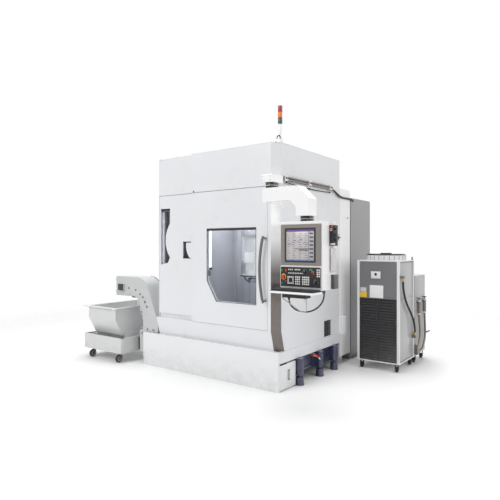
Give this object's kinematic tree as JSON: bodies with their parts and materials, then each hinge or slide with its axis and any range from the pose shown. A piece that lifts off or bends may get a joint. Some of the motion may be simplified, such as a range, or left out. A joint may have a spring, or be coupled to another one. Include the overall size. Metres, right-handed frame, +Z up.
{
  "type": "bevel gear cutting machine",
  "caption": "Enclosed bevel gear cutting machine with sliding door, swing-arm control pendant, chip conveyor, wheeled chip cart and an oil chiller with its coolant unit.",
  "frame": {"origin": "on the floor under the middle of the whole set", "axes": "+Z up, +X to the right seen from the operator's side, +Y to the back"},
  "size_m": [3.928, 3.018, 3.053],
  "materials": {
    "cover_paint": "satin",
    "window_glass": "polished",
    "machined_steel": "machined",
    "bright_steel": "brushed",
    "liner_paint": "satin",
    "panel_black": "matte",
    "cabinet_grey": "satin",
    "cart_grey": "satin",
    "base_navy": "painted",
    "chiller_grey": "satin",
    "chiller_white": "satin",
    "grille_black": "matte",
    "caster_steel": "zinc plated",
    "caster_rubber": "matte",
    "hose_rubber": "matte",
    "conduit_white": "matte",
    "conveyor_grey": "satin",
    "tank_grey": "satin",
    "stop_red": "gloss",
    "start_green": "gloss",
    "lamp_plastic": "gloss",
    "lamp_white": "matte",
    "pendant_white": "satin",
    "bezel_bronze": "satin",
    "screen_glass": "gloss",
    "head_blue": "satin"
  },
  "bodies": {
    "base": {"arm_bracket": "cover_paint", "cabinet": "cabinet_grey", "canopy": "cover_paint", "cast_base": "base_navy", "chamber_liner": "liner_paint", "chiller_body": "chiller_grey", "chiller_casters": "caster_steel", "chiller_frame": "chiller_white", "chiller_grille": "grille_black", "chiller_hose": "hose_rubber", "conduit_run": "conduit_white", "conveyor_housing": "conveyor_grey", "coolant_tank": "tank_grey", "coolant_unit": "chiller_grey", "corner_strip": "bright_steel", "fan_guard": "grille_black", "front_cover": "cover_paint", "lamp_mast": "lamp_white", "left_cover": "cover_paint", "levelling_feet": "base_navy", "rear_housing": "cover_paint", "side_cover": "cover_paint", "signal_lamps": "lamp_plastic", "unit_pipes": "hose_rubber", "work_head": "head_blue"},
    "main_door": {"main_door": "cover_paint", "main_window": "window_glass", "main_handle": "bright_steel"},
    "access_door": {"access_door": "cover_paint", "access_window": "window_glass"},
    "spindle_slide": {"spindle_slide": "bright_steel"},
    "cutter_head": {"cutter_head": "machined_steel"},
    "bevel_gear": {"bevel_gear": "machined_steel"},
    "swing_arm": {"swing_arm": "cover_paint"},
    "pendant": {"pendant_housing": "pendant_white", "screen_bezel": "bezel_bronze", "screen": "screen_glass", "button_panel": "panel_black", "keyboard_shelf": "panel_black", "hand_unit": "panel_black", "pendant_cable": "hose_rubber"},
    "emergency_stop": {"emergency_stop": "stop_red"},
    "start_button": {"start_button": "start_green"},
    "halt_button": {"halt_button": "stop_red"},
    "feed_knob": {"feed_knob": "panel_black"},
    "mode_knob": {"mode_knob": "panel_black"},
    "handwheel": {"handwheel": "panel_black"},
    "cart": {"cart_frame": "cart_grey", "cart_hopper": "cart_grey", "rear_forks": "caster_steel"},
    "fork_front_left": {"fork_front_left": "caster_steel"},
    "fork_front_right": {"fork_front_right": "caster_steel"},
    "wheel_front_left": {"wheel_front_left": "caster_rubber"},
    "wheel_front_right": {"wheel_front_right": "caster_rubber"},
    "wheel_rear_left": {"wheel_rear_left": "caster_rubber"},
    "wheel_rear_right": {"wheel_rear_right": "caster_rubber"},
    "drain_lever": {"drain_lever": "caster_steel"},
    "chiller_fan": {"chiller_fan": "grille_black"},
    "valve_lever": {"valve_lever": "stop_red"},
    "cabinet_door": {"cabinet_door": "cabinet_grey"}
  },
  "joints": [
    {"name": "main_door_slide", "type": "slide", "parent": "base", "child": "main_door", "axis": [1, 0, 0], "range_m": [-0.6, 0]},
    {"name": "access_door_hinge", "type": "hinge", "parent": "base", "child": "access_door", "pos_m": [-0.7, -1.076, 1.4], "axis": [0, 0, -1], "range_deg": [0, 100]},
    {"name": "spindle_travel", "type": "slide", "parent": "base", "child": "spindle_slide", "axis": [0, 0, 1], "range_m": [-0.004, 0.25]},
    {"name": "cutter_spin", "type": "hinge", "parent": "spindle_slide", "child": "cutter_head", "pos_m": [0.56, -0.691, 1.1557], "axis": [0, 0, 1], "continuous": true},
    {"name": "work_spin", "type": "hinge", "parent": "base", "child": "bevel_gear", "pos_m": [0.67385, -0.691, 1.07075], "axis": [-0.7071, 0, 0.7071], "continuous": true},
    {"name": "arm_swing", "type": "hinge", "parent": "base", "child": "swing_arm", "pos_m": [1.145, -1.221, 2.1447], "axis": [0, 0, 1], "range_deg": [-95, 20]},
    {"name": "pendant_swivel", "type": "hinge", "parent": "swing_arm", "child": "pendant", "pos_m": [1.55, -1.196, 1.79], "axis": [0, 0, 1], "range_deg": [-45, 45]},
    {"name": "emergency_stop_press", "type": "slide", "parent": "pendant", "child": "emergency_stop", "axis": [0, 1, 0], "range_m": [0, 0.006], "stiffness_N_per_m": 2500},
    {"name": "start_press", "type": "slide", "parent": "pendant", "child": "start_button", "axis": [0, 1, 0], "range_m": [0, 0.004], "stiffness_N_per_m": 1500},
    {"name": "halt_press", "type": "slide", "parent": "pendant", "child": "halt_button", "axis": [0, 1, 0], "range_m": [0, 0.004], "stiffness_N_per_m": 1500},
    {"name": "feed_turn", "type": "hinge", "parent": "pendant", "child": "feed_knob", "pos_m": [1.602, -1.327, 1.3], "axis": [0, 1, 0], "range_deg": [0, 270]},
    {"name": "mode_turn", "type": "hinge", "parent": "pendant", "child": "mode_knob", "pos_m": [1.719, -1.327, 1.208], "axis": [0, 1, 0], "range_deg": [0, 150]},
    {"name": "handwheel_spin", "type": "hinge", "parent": "pendant", "child": "handwheel", "pos_m": [1.831, -1.125, 1.632], "axis": [1, 0, 0], "continuous": true},
    {"name": "cart_roll", "type": "slide", "parent": "base", "child": "cart", "axis": [1, 0, 0], "range_m": [-0.8, 0]},
    {"name": "fork_left_swivel", "type": "hinge", "parent": "cart", "child": "fork_front_left", "pos_m": [-1.854, -1.232, 0.12], "axis": [0, 0, 1], "continuous": true},
    {"name": "fork_right_swivel", "type": "hinge", "parent": "cart", "child": "fork_front_right", "pos_m": [-1.281, -1.232, 0.12], "axis": [0, 0, 1], "continuous": true},
    {"name": "wheel_front_left_roll", "type": "hinge", "parent": "fork_front_left", "child": "wheel_front_left", "pos_m": [-1.854, -1.264, 0.05], "axis": [1, 0, 0], "continuous": true},
    {"name": "wheel_front_right_roll", "type": "hinge", "parent": "fork_front_right", "child": "wheel_front_right", "pos_m": [-1.281, -1.264, 0.05], "axis": [1, 0, 0], "continuous": true},
    {"name": "wheel_rear_left_roll", "type": "hinge", "parent": "cart", "child": "wheel_rear_left", "pos_m": [-1.854, -0.534, 0.05], "axis": [1, 0, 0], "continuous": true},
    {"name": "wheel_rear_right_roll", "type": "hinge", "parent": "cart", "child": "wheel_rear_right", "pos_m": [-1.281, -0.534, 0.05], "axis": [1, 0, 0], "continuous": true},
    {"name": "drain_turn", "type": "hinge", "parent": "cart", "child": "drain_lever", "pos_m": [-1.171, -1.017, 0.298], "axis": [1, 0, 0], "range_deg": [0, 90]},
    {"name": "fan_spin", "type": "hinge", "parent": "base", "child": "chiller_fan", "pos_m": [1.6435, 0.6875, 1.37], "axis": [0, 0, 1], "continuous": true},
    {"name": "valve_turn", "type": "hinge", "parent": "base", "child": "valve_lever", "pos_m": [1.95, 1.377, 0.372], "axis": [1, 0, 0], "range_deg": [0, 90]},
    {"name": "cabinet_door_hinge", "type": "hinge", "parent": "base", "child": "cabinet_door", "pos_m": [0.44, 1.3893, 1.1], "axis": [0, 0, 1], "range_deg": [0, 110]}
  ]
}
